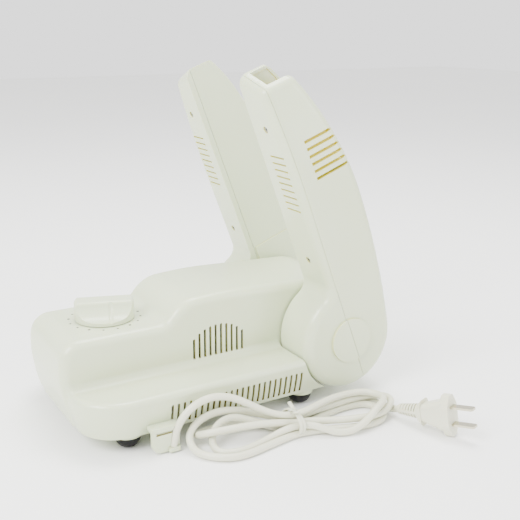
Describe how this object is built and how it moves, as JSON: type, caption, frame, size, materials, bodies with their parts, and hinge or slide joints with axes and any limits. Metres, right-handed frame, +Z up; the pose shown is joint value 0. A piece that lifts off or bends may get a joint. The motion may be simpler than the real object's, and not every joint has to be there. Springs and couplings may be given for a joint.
{
  "type": "boot dryer",
  "caption": "Folding electric shoe and boot dryer: a low blower base with a timer knob and two hollow warm-air arms on hubs, with a tied cord and plug.",
  "frame": {"origin": "on the floor, below the middle of the base and arms (cord and plug left out)", "axes": "+X from the nose to the hub end, +Y to the dryer's left, +Z up"},
  "size_m": [0.2534, 0.2578, 0.2534],
  "materials": {
    "cream_abs": "glossy moulded ABS",
    "black_rubber": "moulded rubber",
    "zinc_screw": "zinc plated",
    "tick_print": "pad printed",
    "steel": "cold rolled",
    "grey_plastic": "moulded polypropylene",
    "motor_can": "drawn steel can",
    "heat_plastic": "heat resistant nylon",
    "mica": "laminated mica",
    "nichrome": "oxidised wire",
    "acetal": "moulded acetal",
    "fuse_body": "tinned case",
    "terminal_plastic": "moulded nylon",
    "wire_pvc": "PVC insulation",
    "cord_pvc": "extruded PVC",
    "tie_pvc": "PVC coated wire",
    "pin_metal": "nickelled brass"
  },
  "bodies": {
    "base": {"air_manifold": "heat_plastic", "base_housing": "cream_abs", "base_screws": "zinc_screw", "blower_case_left": "grey_plastic", "blower_case_right": "grey_plastic", "bottom_cover": "cream_abs", "clamp_screws": "zinc_screw", "cord_bracket": "cream_abs", "cord_clamp": "terminal_plastic", "cord_hank": "cord_pvc", "cord_lead": "cord_pvc", "cord_tail": "cord_pvc", "cord_tie": "tie_pvc", "fan_motor": "motor_can", "heater_duct": "heat_plastic", "heater_frame": "mica", "heater_wire": "nichrome", "internal_wiring": "wire_pvc", "left_pivot_bush": "acetal", "motor_bracket": "steel", "motor_screws": "zinc_screw", "plug_body": "cord_pvc", "plug_pins": "pin_metal", "plug_strain_relief": "cord_pvc", "right_pivot_bush": "acetal", "rubber_feet": "black_rubber", "scale_ticks": "tick_print", "terminal_block": "terminal_plastic", "thermal_fuse": "fuse_body", "thermostat": "steel", "timer_body": "grey_plastic", "timer_screws": "zinc_screw"},
    "left_arm": {"left_back_shell": "cream_abs", "left_cover_screws": "zinc_screw", "left_front_cover": "cream_abs", "left_pivot_tube": "heat_plastic", "left_retaining_ring": "steel", "left_wave_washer": "steel"},
    "right_arm": {"right_back_shell": "cream_abs", "right_cover_screws": "zinc_screw", "right_front_cover": "cream_abs", "right_pivot_tube": "heat_plastic", "right_retaining_ring": "steel", "right_wave_washer": "steel"},
    "timer_knob": {"timer_knob": "cream_abs", "timer_shaft": "steel"},
    "fan": {"fan_impeller": "grey_plastic", "motor_shaft": "steel"}
  },
  "joints": [
    {"name": "left_arm_fold", "type": "hinge", "parent": "base", "child": "left_arm", "pos_m": [0.08672, 0, 0.0495], "axis": [0, -1, 0], "range_deg": [0, 69]},
    {"name": "right_arm_fold", "type": "hinge", "parent": "base", "child": "right_arm", "pos_m": [0.08672, 0, 0.0495], "axis": [0, -1, 0], "range_deg": [0, 69]},
    {"name": "timer_turn", "type": "hinge", "parent": "base", "child": "timer_knob", "pos_m": [-0.08028, 0, 0.0745], "axis": [0, 0, -1], "range_deg": [0, 300]},
    {"name": "fan_spin", "type": "hinge", "parent": "base", "child": "fan", "pos_m": [-0.00698, 0, 0.051], "axis": [0, 1, 0], "continuous": true}
  ]
}
